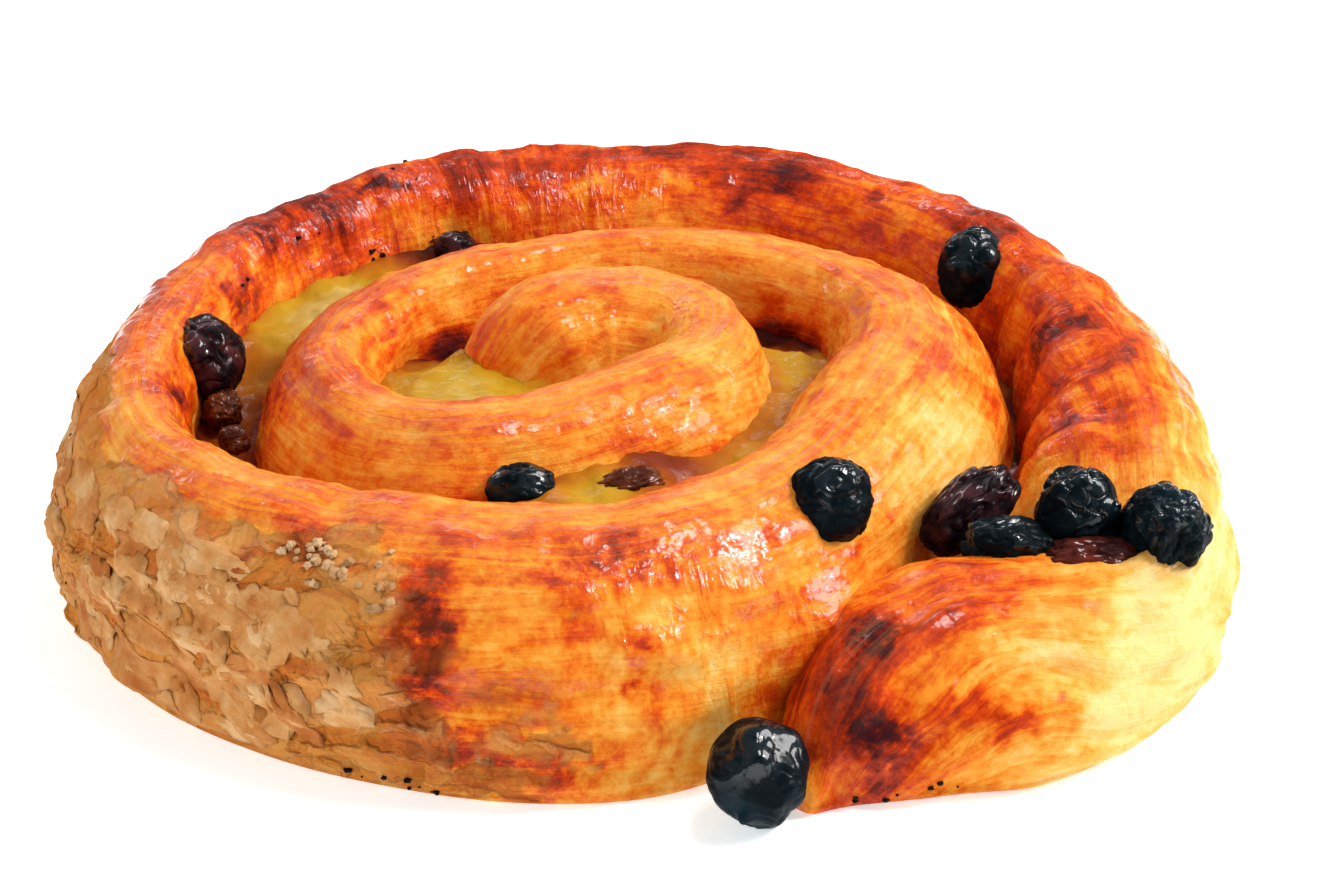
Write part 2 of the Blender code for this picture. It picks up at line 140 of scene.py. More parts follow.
# Browned places of the crust: x, y, z in the finished pastry, half length along the strip, half width, how
# much darker; a paler place is negative
BROWNED = [
    (-4.6, -51.3, 17.3, 2.2, 4, 0.1), (5.7, -49.7, 15.9, 1.4, 2.6, 0.12), (-11, -52.9, 11.5, 7.5, 2.6, 0.1),
    (2, -50, 14, 11, 6, -0.08), (-36.5, 34.9, 24.7, 9, 4.5, 0.18), (16.8, 44.3, 24.1, 4, 3, 0.21),
    (10.8, 43.9, 22.4, 1.5, 4.5, 0.21), (27.6, 40, 24.6, 2, 1.8, 0.24), (2.2, 50.5, 24.9, 30, 3, 0.15),
    (-21.1, 44, 23.6, 4, 2, 0.12), (48, -5.4, 22.6, 1.3, 5, 0.24), (48.8, -19.4, 20, 1.5, 5, 0.15),
    (30.9, -6.9, 24.2, 2, 6, 0.2), (-37, -2, 20.5, 13, 5, 0.3), (8, -9, 25, 8, 6, -0.1),
    (-26.7, 6.6, 23.9, 1.5, 1.5, 0.18), (33.4, -51.2, 10, 7, 2.5, 0.2), (31.5, -42.7, 15.6, 6.5, 1.6, 0.18),
    (17.5, -49.4, 8.4, 6, 5.5, 0.18), (19.9, -53.3, 1.1, 9, 1.6, 0.2), (23.5, -29.7, 19.9, 1.5, 3, 0.18),
    (46, -44.6, 8.9, 13, 9, -0.34), (57, -25.7, 12.6, 14, 9, -0.3), (30.5, -20.3, 18.5, 9, 6.5, -0.15),
    (30, -17, 19.5, 8, 8, -0.11), (-33, 42, 24, 22, 7, 0.06), (-52, 18, 22, 18, 6, 0.1),
    (9.5, -46, 19, 9, 5, 0.08), (31.5, -51.9, 9, 8, 2.2, 0.16), (21, -50.5, 10.5, 5, 6, 0.1),
    (50, -43, 8, 12, 12, -0.2), (8.9, -49.2, 9.9, 5.5, 3.5, -0.08), (58, 5, 12, 25, 9, -0.09),
    (-3, 3, 24, 6, 3, -0.06), (-50, 20, 23, 16, 5, 0.1), (-46, -6, 22, 10, 4, 0.08),
    (36.8, -50.8, 9.8, 3.2, 2.8, 0.16), (32.5, -43.5, 15.5, 5, 3, 0.1), (15, -43.9, 14.7, 6, 4.5, 0.07),
    (-2, -49.5, 19, 7, 4, -0.07)]

# Burnt spots with ragged edges, in the same way
BURNT = [
    (-2, -46.3, 22.2, 6, 2.4, 0.28), (-19.2, -50.5, 15.3, 2.6, 7, 0.46), (0.8, -52.1, 13.9, 2.6, 1.6, 0.3),
    (-12, -53.4, 4.2, 8.5, 2.6, 0.28), (-29.7, -41.5, 21.5, 5.5, 2.4, 0.3),
    (-35.8, -41.3, 19.4, 1.8, 2, 0.29), (-47.5, -9.3, 22.8, 2, 2.2, 0.33),
    (-42.4, 27.1, 24.8, 2, 1.5, 0.46), (-30.3, 42.2, 25, 2.2, 1.4, 0.45),
    (-43.3, 17.3, 20.2, 4.2, 3.2, 0.29), (45.8, 7, 23, 2.2, 5, 0.28), (43.5, -13.7, 20.5, 1, 4.5, 0.28),
    (22.9, -45.5, 13.9, 3.4, 2.4, 0.42), (21.8, -52.6, 6.6, 3, 3, 0.42)]

# Where the syrup lies thicker, or thinner where negative, in the same way
GLAZE = [
    (3, -17.5, 24.8, 9, 4.5, -0.6), (25, -17, 22, 10, 9, -0.6), (-43.3, 17.3, 20.2, 4.5, 3.5, 0.4),
    (23.5, -30, 19.5, 2.5, 4, 0.6), (45, 2, 23, 25, 10, -0.35), (0, 51, 26, 45, 4.5, -0.6),
    (27, -41.5, 16, 5, 2.5, 0.2)]

# Painted shade of the hollows where the custard has sunk away from the dough, darkening the crust, in the
# same way
HOLLOW_SHADE = [(-20.7, 11.7, 17.4, 4, 1.8, 0.55), (17, 13.2, 16.8, 7, 2.6, 0.55), (-43, -12, 14, 7, 2.5, 0.3)]

# Dry, papery places outside the left wall, in the same way
DRY = [(-9, -53.5, 7.5, 5, 1.8, 0.6), (-3, -53, 5.5, 2.5, 1.2, 0.5), (-14, -53, 2.5, 6, 1.5, 0.7)]

VALLEY = 7.0  # mm over which the loose end and the wall beside it run into each other
CORE_HEIGHT, CORE_SIZE = 12.0, (3.4, 3.4, 9.2)  # mm, of the dough that fills the eye of the tightest turn
CUSTARD_SHEET = 0.112  # m across
CUSTARD_BASE = 0.0006  # m above the table
FLAKES = 150
FLAKE_THICKNESS = 0.0001  # m
FLAKE_ROOM = 1.3  # mm between the box and the dry wall, where its bulges begin to be pressed flatter
FLAKE_ANGLES = (150, 253, 220)  # degrees round the pastry: first, last, most
FLAKE_HEIGHTS = (2.5, 21.5)  # mm
FLAKE_LENGTHS = (1.0, 4.6, 2.0)  # mm, half a sheet: shortest, longest, most

# Crumbs: x, y, z, how far they scatter, how many
PALE_CRUMBS = [(-29.5, -42.5, 20, 2, 16), (-27.5, -43.5, 18.8, 2, 12), (-23.5, -46, 19.5, 2.4, 9)]
BURNT_CRUMBS = [
    (-57, -13, 19, 1, 2), (-56.5, -25, 9, 1, 1), (-31, 35.5, 17.5, 1.6, 7), (-28, 46, 23, 1.5, 5),
    (-39, 33, 22, 2, 2), (-44, 20, 21, 1.5, 2), (-18.5, -54, 0.8, 3, 6), (-25.5, -52, 0.8, 3, 3),
    (22, -56, 0.8, 2, 4), (28, -55, 0.8, 2.5, 3), (-21.5, 38, 18.5, 1, 3)]
PALE_CRUMB_SIZES, BURNT_CRUMB_SIZES = (0.25, 0.6), (0.12, 0.32)  # mm, smallest and largest radius

# What is kept on the crust for its material to read, with the value of the core in the tightest turn
CRUST = {"browned": 0.4, "burnt": 0.0, "dry": 0.0, "wet": 0.5, "bloom": 0.0, "pleated": 0.0, "sheets": 0.5,
         "holes": 0.0}

# How the noises of the crust are drawn out along the strip: name, scale along and across it in 1 / m, and a
# turn in radians. Layers are lines 0.4 mm apart, drawn patches 1.6 mm wide, and pleats 1.9 mm apart.
DRAWN_OUT = [("layered", 70, 2300, 0.6), ("drawn", 110, 620, 0.4), ("across", 520, 150, 0.5)]

# Noises of the crust: name, where they are laid, scale, detail, roughness and distortion. In the dough itself
# the scale is 1 / m: a blotch of 95 is 10.5 mm wide, a speck of 300 3.3 mm and a dapple of 850 1.2 mm. The
# real grain of flour is finer than the 0.8 mm here, which is as coarse as it needs to show.
CRUST_NOISES = [("blotch", "dough", 95, 9, 0.68, 0), ("speck", "dough", 300, 8, 0.74, 0),
                ("grain", "dough", 1300, 3, 0.6, 0), ("dapple", "dough", 850, 4, 0.6, 0.4),
                ("rough", "dough", 300, 4, 0.55, 0), ("small_sheets", "dough", 150, 4, 0.5, 0.3),
                ("pooled", "dough", 280, 6, 0.62, 0.6), ("ripple", "dough", 600, 2, 0.5, 0),
                ("wide_ripple", "dough", 160, 3, 0.5, 0), ("layers", "layered", 1, 5, 0.72, 0.6),
                ("drawn", "drawn", 1, 6, 0.66, 0.9), ("ribs", "across", 1, 3, 0.6, 1)]

# Lamps: name, place and size in m, watts, colour
LAMPS = [("right_window", (0.74, 0.08, 0.58), (0.50, 0.55), 8.4, (1, 0.98, 0.95)),
         ("back_strip", (-0.25, 0.80, 0.55), (0.9, 0.12), 1.5, (0.97, 0.97, 1)),
         ("front_left", (-0.75, -0.45, 0.45), (0.7, 0.7), 4.5, (1, 0.99, 0.97)),
         ("top", (0.26, 0.04, 0.90), (0.30, 0.20), 2.7, (1, 1, 1)),
         ("spark", (0.70, -0.04, 0.66), (0.09, 0.14), 2.6, (1, 1, 1))]

TILT = 0.4538  # radians, of the camera above the table
LENS, SENSOR = 81.75, 36.0  # mm
DISTANCE = 0.32  # m
LOOKED_AT = (3.629, -2.206, 12.0)  # mm


def clear_selection():
    if bpy.context.object and bpy.context.object.mode != "OBJECT":
        bpy.ops.object.mode_set(mode="OBJECT")
    bpy.ops.object.select_all(action="DESELECT")


def edit_with(obj, chosen):
    """Opens edit mode with these points selected, and the edges and faces between them."""
    chosen = np.asarray(chosen, bool)
    obj.data.polygons.foreach_set("select", np.zeros(len(obj.data.polygons), bool))
    obj.data.edges.foreach_set("select", np.zeros(len(obj.data.edges), bool))
    obj.data.vertices.foreach_set("select", chosen)
    bpy.ops.object.mode_set(mode="EDIT")
    bpy.ops.mesh.select_mode(type="VERT")


def coordinates(obj):
    places = np.empty(len(obj.data.vertices) * 3)
    obj.data.vertices.foreach_get("co", places)
    return places.reshape(-1, 3)


def place_points(obj, places):
    """Moves every point of a mesh, but never out of the pastry's box."""
    low, high = (np.array(corner) + way * BOX_MARGIN for corner, way in zip(CAD_BOX, (1, -1)))
    obj.data.vertices.foreach_set("co", np.clip(places, low, high).ravel())
    obj.data.update()


def keep(obj, name, values):
    """Stores one number for each point, for a material to read."""
    attribute = obj.data.attributes.new(name, "FLOAT", "POINT")
    attribute.data.foreach_set("value", np.asarray(values, np.float32))


def smooth_step(low, high, value):
    t = np.clip((np.asarray(value, float) - low) / (high - low), 0, 1)
    return t * t * (3 - 2 * t)


def noise_at(points, scale, seed=0.0, octaves=1):
    """Perlin noise at each point (mm), about -1 to 1."""
    points = np.asarray(points, float) * scale
    if octaves == 1:
        return np.array([noise.noise(Vector((x + seed, y - seed, z + 2 * seed))) for x, y, z in points])
    return np.array([noise.fractal(Vector((x + seed, y - seed, z + 2 * seed)), 0.7, 2.1, octaves)
                     for x, y, z in points])


def noise_on_strip(along, across, lengthwise, crosswise, seed, octaves=1):
    """The same noise on the strip laid out flat, drawn out by its two scales, which are in 1 / mm."""
    flat = np.stack([along * lengthwise, across * crosswise, np.zeros_like(along)], 1)
    return noise_at(flat, 1.0, seed, octaves)


class Strip:
    """The rolled strip: its crest line at even steps, with the section's sizes and directions there."""

    def __init__(self):
        rows = np.array(MIDDLE_TURN + SECOND_TURN + OUTER_TURN + LOOSE_END, float)
        places = np.linspace(0, len(rows) - 1, 6001)
        i = np.minimum(places.astype(int), len(rows) - 2)
        t = (places - i)[:, None]
        a, b, c, d = (rows[np.clip(i + k, 0, len(rows) - 1)] for k in (-1, 0, 1, 2))
        fine = 0.5 * (2 * b + (c - a) * t + (2 * a - 5 * b + 4 * c - d) * t**2
                      + (3 * b - a - 3 * c + d) * t**3)
        run = np.concatenate([[0], np.cumsum(np.hypot(*np.diff(fine[:, :2], axis=0).T))])
        self.length = run[-1]

        def at(column, where):
            return np.interp(where, run, fine[:, column])

        before = len(MIDDLE_TURN + SECOND_TURN)
        first, last = (run[int(6000 * (before + k) / (len(rows) - 1))] for k in (1, 12))
        every = np.linspace(-TIP, self.length + TIP, 4000)
        finer = smooth_step(first - 8, first, every) * smooth_step(last + 8, last, every)
        count = np.cumsum(1 / (WIDE_STEP + (FINE_STEP - WIDE_STEP) * finer)) * (every[1] - every[0])
        self.along = np.interp(np.linspace(count[0], count[-1], round(count[-1])), count, every)
        s = np.clip(self.along, 0, self.length)
        self.x, self.y, self.height, self.inner, self.outer, self.inner_widest = (at(k, s) for k in range(6))
        span = 4 * (1 + 3 * s / self.length)
        low, high = np.clip(s - span, 0, self.length), np.clip(s + span, 0, self.length)
        heading = np.stack([at(0, high) - at(0, low), at(1, high) - at(1, low)], 1)
        heading /= np.linalg.norm(heading, axis=1)[:, None]
        side = np.stack([-heading[:, 1], heading[:, 0]], 1)
        near = np.clip((self.x + 1) / 3, 0, 1) * np.clip((self.y + 10) / 4, 0, 1) * (s < 0.25 * self.length)
        from_fold = np.stack([self.x, self.y], 1) - FOLD
        from_fold /= np.linalg.norm(from_fold, axis=1)[:, None]
        side = side + (from_fold - side) * near[:, None]
        self.side = side / np.linalg.norm(side, axis=1)[:, None]
        self.heading = heading
        past = np.maximum(-self.along, self.along - self.length)
        e = np.clip((TIP - past) / TAPER, 0, 1)
        self.slim = np.where(past < 0, (1 - (1 - e) ** 2.2) ** 0.45, (1 - (1 - TIP / TAPER) ** 2.2) ** 0.45)
        self.tip = np.sqrt(np.clip(1 - (np.maximum(past, 0) / TIP) ** 2, 0, 1))
        self.past = np.where(past > 0, past, 0) * np.where(self.along < 0, -1, 1)

    def section(self):
        """Across, up and lean of every point: rows run along the strip, columns from under the inner side to
        under the outer side. Lean is -1 at the inner side, 0 on the crest and 1 at the outer side."""
        height = (self.height * (0.7 + 0.3 * self.slim))[:, None]
        inner, outer = (self.inner * self.slim)[:, None], (self.outer * self.slim)[:, None]
        tuck = np.minimum(0.16 * height, np.minimum(0.4 * inner, 0.4 * outer))
        parts = []
        sides = ((-1, inner, self.inner_widest[:, None] * height, 0.75, INNER_POINTS),
                 (1, outer, OUTER_WIDEST * height, 1.0, OUTER_POINTS))
        for sign, reach, widest, boxy, count in sides:
            lower = round(count * 0.26)
            turn = 0.5 * math.pi * np.linspace(0, 1, lower, endpoint=False)[None, :]
            below = (sign * (reach - tuck * (1 - np.sin(turn))), widest * (1 - np.cos(turn)))
            turn = 0.5 * math.pi * np.linspace(0, 1, count - lower, endpoint=False)[None, :]
            above = (sign * reach * np.cos(turn) ** boxy, widest + (height - widest) * np.sin(turn))
            half = [np.concatenate([b, u], 1) for b, u in zip(below, above)]
            half.append(half[0] / reach)
            parts.append(half if sign < 0 else [column[:, ::-1] for column in half])
        crest = [np.zeros_like(height), height, np.zeros_like(height)]
        return [np.concatenate([i, c, o], 1) for i, c, o in zip(parts[0], crest, parts[1])]


STRIP = Strip()


def patches(points, heading, list_of_places, seed, ragged=2.6):
    """Sum of soft places at each point, with edges that wander by about this many mm."""
    total = np.zeros(len(points))
    warp = np.stack([noise_at(points, 0.2, seed + k, 4) for k in (0, 30, 60)], 1) * ragged
    warped = points + warp
    for x, y, z, length, width, amount in list_of_places:
        gap = warped - np.array([x, y, z])
        near = np.where(np.abs(gap).max(1) < 2.6 * max(length, width))[0]
        lengthwise = (gap[near, :2] * heading[near]).sum(1)
        crosswise = np.sqrt(np.maximum((gap[near] ** 2).sum(1) - lengthwise ** 2, 0))
        far = np.hypot(lengthwise / length, crosswise / width)
        total[near] += amount * np.exp(-0.9 * far ** 2.4)
    return total


def soften_valley(points, out, at):
    """Rounds the valley where the loose end lies against the wall, as two soft doughs that have baked
    together. Each of the two swells a little where it comes near the other."""
    new = points.copy()
    run = STRIP.along
    halves = [np.where(run < STRIP.length - 100)[0], np.where(run > STRIP.length - 55)[0]]
    for mine, other in (halves, halves[::-1]):
        block = at[other[0]:other[-1] + 1]
        faces = np.stack([block[:-1, :-1], block[1:, :-1], block[1:, 1:], block[:-1, 1:]], -1).reshape(-1, 4)
        used, faces = np.unique(faces, return_inverse=True)
        tree = BVHTree.FromPolygons(points[used].tolist(), faces.reshape(-1, 4).tolist())
        for n in at[mine].ravel():
            x, y, z = points[n]
            if x < 5 or y > -32 or z < 1:
                continue
            found, normal, face, gap = tree.find_nearest(Vector((x, y, z)), VALLEY)
            if found is not None:
                blend = (VALLEY - gap) ** 2 / (4 * VALLEY) * smooth_step(-32, -38, y)
                new[n] += out[n] * blend
    return new


def rolled_grid():
    """A flat grid rolled up section by section, because no single tool lofts unlike sections along a coil.
    Gives the object and what is known of its points, above all where on the strip each lies."""
    across, up, lean = STRIP.section()
    rows, columns = across.shape
    clear_selection()
    bpy.ops.mesh.primitive_grid_add(x_subdivisions=rows - 1, y_subdivisions=columns - 1, size=1.0)
    obj = bpy.context.object
    obj.name = obj.data.name = "baked_dough"
    flat = coordinates(obj)
    row = np.rint((flat[:, 0] + 0.5) * (rows - 1)).astype(int)
    column = np.rint((flat[:, 1] + 0.5) * (columns - 1)).astype(int)

    ring = np.zeros((rows, columns, 3))
    ring[..., 0] = STRIP.x[:, None] + STRIP.side[:, :1] * across
    ring[..., 1] = STRIP.y[:, None] + STRIP.side[:, 1:] * across
    ring[..., 2] = up
    middle = ring.mean(1, keepdims=True)
    ring = middle + (ring - middle) * STRIP.tip[:, None, None]
    ring[..., :2] += (STRIP.heading * STRIP.past[:, None])[:, None, :]
    steps = np.linalg.norm(np.diff(ring, axis=1), axis=2)
    arc = np.concatenate([np.zeros((rows, 1)), np.cumsum(steps, 1)], 1)
    arc -= arc[:, INNER_POINTS][:, None]

    skin = SimpleNamespace(row=row, column=column, rows=rows, columns=columns, points=ring[row, column],
                           s=STRIP.along[row], arc=arc[row, column], lean=lean[row, column],
                           heading=STRIP.heading[row])
    upward = np.clip(1 - np.abs(skin.lean), 0, None)[:, None]
    out = np.concatenate([STRIP.side[row] * skin.lean[:, None], upward], 1)
    skin.out = out / np.linalg.norm(out, axis=1)[:, None]
    skin.from_middle = np.hypot(skin.points[:, 0], skin.points[:, 1])
    skin.outside = (skin.lean > 0) & (skin.from_middle > OUTER_REACH)
    skin.tail = smooth_step(STRIP.length - 75, STRIP.length - 45, skin.s)
    return obj, skin


def coarse_relief(skin):
    """Bumps, bulges of the flaky wall and ribs across the right turn, in mm, as in the solids. Each function
    here also keeps on the skin what later ones need."""
    x, y, z = skin.points.T
    skin.wall = np.where(skin.outside, np.minimum(1, skin.lean * 1.5) * np.clip((22 - z) / 6, 0, 1)
                         * np.minimum(1, z / 3), 0)
    flaky = np.where(x < 5, 0.7, 0.4)
    skin.bumps = noise_at(skin.points * [1, 1, 1.6], 0.16)
    swell = noise_at(np.stack([skin.s * 0.13, z * 0.36, np.full_like(x, 4.0)], 1), 1.0)
    skin.ribbed = (x > 36) & (y > -18) & (y < 32) & (skin.lean < 0)
    skin.rib = np.where(skin.ribbed, np.sin(skin.s / RIB_STEP * 2 * math.pi), 0)
    return (np.where(skin.outside, 0.9, 0.45) * skin.bumps + skin.wall * flaky * 1.6 * swell
            + 0.5 * skin.rib * np.minimum(1, z / 12))


def dry_relief(skin):
    """Ledges and holes of the torn, dry sheets outside the left wall, in mm."""
    x, y, z = skin.points.T
    crinkle = noise_at(skin.points, 0.35, 40.0, 4)
    skin.sheets = (1.5 * noise_on_strip(skin.s, z, 0.075, 0.16, 3.0, 3) + z * 0.16 - skin.s * 0.012
                   + 0.22 * crinkle)
    skin.holes = noise_on_strip(skin.s, z, 0.14, 0.24, 17.0, 3) + 0.15 * crinkle
    edge_warp = noise_at(skin.points, 0.1, 40.0, 4)
    dry_place = skin.outside * smooth_step(44, 6, y + 16 * edge_warp + 1.1 * (z - 12))
    dry_place = dry_place * smooth_step(23.4, 21.2, z + 1.6 * edge_warp)
    skin.dry_place = dry_place * (0.72 * smooth_step(-14, -24, x + 7 * edge_warp)
                                  + 0.28 * smooth_step(6, -14, x))
    ledge = (np.floor(skin.sheets) + smooth_step(0.0, 0.24, skin.sheets - np.floor(skin.sheets))
             - 0.9 * (skin.sheets - 1.5))
    torn = 0.6 * ledge - 0.5 * smooth_step(0.18, 0.28, skin.holes) + 0.2 * crinkle
    return skin.wall * skin.dry_place * torn


def fine_relief(skin):
    """Ripples across the back turn's inner slope, folds along the loose end, ledges of dry layers that have
    broken off the left wall, and small blisters, in mm."""
    x, y, z = skin.points.T
    skin.back = (smooth_step(15, 30, y) * (skin.lean < 0.1) * (skin.from_middle > BACK_REACH)
                 * smooth_step(12, -8, x))
    ripple = noise_on_strip(skin.s, skin.arc, 0.24, 0.05, 13.0)
    folds = noise_on_strip(skin.s, skin.arc, 0.05, 0.34, 7.0)
    small_folds = noise_on_strip(skin.s, skin.arc, 0.12, 0.9, 19.0)
    blisters = noise_at(skin.points, 0.4, 11.0, 2)
    return (0.7 * skin.back * ripple * np.clip((z - 12) / 6, 0, 1) + (0.25 + 0.85 * skin.tail) * folds
            + 0.22 * skin.tail * small_folds + dry_relief(skin) + 0.25 * blisters)


def lay_out_strip(obj, skin):
    """The map's first number runs along the strip and its second one round the section, in metres."""
    layer = obj.data.uv_layers.active
    layer.name = "strip"
    corner = np.empty(len(obj.data.loops), int)
    obj.data.loops.foreach_get("vertex_index", corner)
    layer.data.foreach_set("uv", (np.stack([skin.s, skin.arc], 1)[corner] * MM).ravel())


def bake_crust(obj, skin):
    """Keeps on the dough how brown, burnt, dry and wet it is, with painted shade of the hollows by the
    custard in its brown, and which of its finer patterns and its painted sheen on the crest show where.
    """
    final = skin.points + SHIFT
    x, y, z = skin.points.T
    lean, heading, outside = skin.lean, skin.heading, skin.outside
    far = skin.from_middle > BACK_REACH
    crest = np.exp(-(lean * 1.6) ** 2)
    browned = 0.39 + 0.04 * crest - 0.05 * smooth_step(12, 0, z) * outside
    browned += patches(final, heading, BROWNED, 5.0) + 0.06 * skin.bumps
    browned += 0.08 * np.where(skin.ribbed, np.clip(-skin.rib, 0, 1), 0) + 0.05 * skin.tail
    browned += 0.13 * (smooth_step(30, 38, x) * smooth_step(-20, -10, y) * smooth_step(0.4, 0.0, lean)
                       * smooth_step(40, 30, y))
    browned += (0.07 + 0.06 * crest) * smooth_step(22, 34, y) * far
    browned += 0.05 * noise_on_strip(skin.s, skin.arc, 0.06, 0.5, 21.0, 3)
    # Painted shade on the crust in the hollows beside the custard
    browned += patches(final, heading, HOLLOW_SHADE, 5.0, 0.8)
    wet = 0.38 + 0.62 * smooth_step(-0.2, -0.5, lean) + 0.6 * smooth_step(0.2, 0.4, lean)
    wet *= np.where(outside, 0.15 + 0.85 * smooth_step(8, 17, z), 1.0)
    wet += 0.4 * smooth_step(20, 30, y) * smooth_step(0, -0.3, lean) + 0.1 * skin.tail
    wet *= 1 - 0.75 * skin.tail * smooth_step(24, 34, x) * smooth_step(-30, -38, y)
    wet += patches(final, heading, GLAZE, 5.0)
    rich = np.maximum(smooth_step(15, 30, y) * far,
                      0.8 * smooth_step(30, 38, x) * smooth_step(-20, -10, y))
    # On the crest, where the layers' streaks and a painted sheen show
    bloom = np.exp(-((lean - 0.05) / 0.42) ** 2) * (1 - 0.7 * skin.tail) * (1 - 0.85 * rich)
    front = outside * smooth_step(-14, -2, x) * smooth_step(24, 12, x) * (y < 0)
    keep(obj, "browned", np.clip(browned, 0, 1))
    keep(obj, "burnt", np.clip(patches(final, heading, BURNT, 5.0), 0, 0.6))
    keep(obj, "dry", np.clip(skin.dry_place + patches(final, heading, DRY, 9.0), 0, 1))
    keep(obj, "wet", np.clip(wet, 0, 1))
    keep(obj, "bloom", bloom)
    keep(obj, "pleated", np.clip(skin.back + front * (z < 22) + 0.6 * skin.ribbed, 0, 1))
    keep(obj, "sheets", skin.sheets)
    keep(obj, "holes", skin.holes)


def make_dough():
    """The strip as a fine skin, whose long edges are bridged under it."""
    obj, skin = rolled_grid()
    relief = coarse_relief(skin)
    relief += fine_relief(skin)
    relief *= STRIP.slim[skin.row] * (skin.points[:, 2] > 1.0)
    points = skin.points + skin.out * relief[:, None]
    at = np.empty((skin.rows, skin.columns), int)
    at[skin.row, skin.column] = np.arange(len(points))
    points = soften_valley(points, skin.out, at)
    # The dry wall's bulges are pressed flatter where they come near the box, and leave room for the flakes
    past = np.maximum(CAD_BOX[0][0] / MM - SHIFT[0] + FLAKE_ROOM - points[:, 0], 0)
    points[:, 0] += past - 0.6 * np.tanh(past / 0.6)
    place_points(obj, (points + SHIFT) * MM)
    lay_out_strip(obj, skin)
    skin.points = points
    bake_crust(obj, skin)
    edit_with(obj, (skin.column == 0) | (skin.column == skin.columns - 1))
    bpy.ops.mesh.bridge_edge_loops()
    bpy.ops.mesh.select_all(action="SELECT")
    bpy.ops.mesh.remove_doubles(threshold=1e-6)
    bpy.ops.mesh.normals_make_consistent(inside=False)
    bpy.ops.object.mode_set(mode="OBJECT")
    bpy.ops.object.shade_smooth()
    return obj


def fold_core():
    """Dough pressed together in the eye of the tightest turn, where there would otherwise be a slit."""
    clear_selection()
    bpy.ops.mesh.primitive_uv_sphere_add(segments=24, ring_count=16, radius=1.0)
    obj = bpy.context.object
    obj.name = obj.data.name = "fold_core"
    places = coordinates(obj)
    place_points(obj, (places * CORE_SIZE + [*FOLD, CORE_HEIGHT] + SHIFT) * MM)
    bpy.ops.object.shade_smooth()
    for name, value in CRUST.items():
        keep(obj, name, np.full(len(places), value))
    obj.data.uv_layers.active.name = "strip"
    return obj


def by_nearness(table, x, y, soft, far=0.0, far_weight=0.0):
    """The mean of a table's values, in which near ones count most. More soft, in square mm, is smoother. A
    place far from all of them takes on a little of the value far."""
    total, weight = far * far_weight, far_weight
    for px, py, value in table:
        w = 1 / (soft + (x - px) ** 2 + (y - py) ** 2) ** 2
        total += w * value
        weight += w
    return total / weight


def make_custard(tree):
    """A fine sheet at the custard's level inside the coil, with its rim let down to a flat base."""
    clear_selection()
    bpy.ops.mesh.primitive_grid_add(x_subdivisions=150, y_subdivisions=150, size=CUSTARD_SHEET)
    obj = bpy.context.object
    obj.name = obj.data.name = "baked_custard"
    places = coordinates(obj)
    outline = np.array([row[:2] for row in OUTER_TURN + LOOSE_END[:4]] + [(24, -29), (15, -26)]) + SHIFT[:2]
    inside = np.zeros(len(places), bool)
    x, y = places[:, 0] / MM, places[:, 1] / MM
    for (ax, ay), (bx, by) in zip(outline, np.roll(outline, -1, 0)):
        crosses = (ay > y) != (by > y)
        with np.errstate(divide="ignore", invalid="ignore"):
            inside ^= crosses & (x < (bx - ax) * (y - ay) / (by - ay) + ax)
    edit_with(obj, ~inside)
    bpy.ops.mesh.delete(type="VERT")
    bpy.ops.object.mode_set(mode="OBJECT")

    places = coordinates(obj) / MM - SHIFT
    x, y = places[:, 0], places[:, 1]
    level = by_nearness(CUSTARD_LEVELS, x, y, 4) + 0.7 * noise_at(places * [1, 1, 0], 0.22)
    level += 0.35 * noise_at(places * [1, 1, 0], 0.5, 2.0, 3)
    gap = np.empty(len(places))
    for n, (px, py) in enumerate(places[:, :2] + SHIFT[:2]):
        found = tree.find_nearest(Vector((px, py, level[n])) * MM, 0.02)
        gap[n] = found[3] / MM if found[0] else 20.0
    level += 0.55 * np.exp(-(gap / 1.1) ** 2)
    places[:, 2] = level
    place_points(obj, (places + SHIFT) * MM)
    # The tints' darkest values are painted shade in the hollows beside the dough
    tint = by_nearness(CUSTARD_TINTS_AND_SHADE, x, y, 2, 0.5, 1e-6)
    keep(obj, "amber_and_hollow_shade", np.clip(0.22 * np.exp(-(gap / 1.6) ** 2) + tint, 0, 1))
    edit_with(obj, np.zeros(len(places), bool))
    bpy.ops.mesh.select_non_manifold()
    bpy.ops.mesh.extrude_region_move(TRANSFORM_OT_translate={"value": (0, 0, -0.001)})
    bpy.ops.transform.resize(value=(1, 1, 0), center_override=(0, 0, CUSTARD_BASE))
    bpy.ops.mesh.edge_face_add()
    bpy.ops.mesh.select_all(action="SELECT")
    bpy.ops.mesh.normals_make_consistent(inside=False)
    bpy.ops.object.mode_set(mode="OBJECT")
    bpy.ops.object.shade_smooth()
    return obj


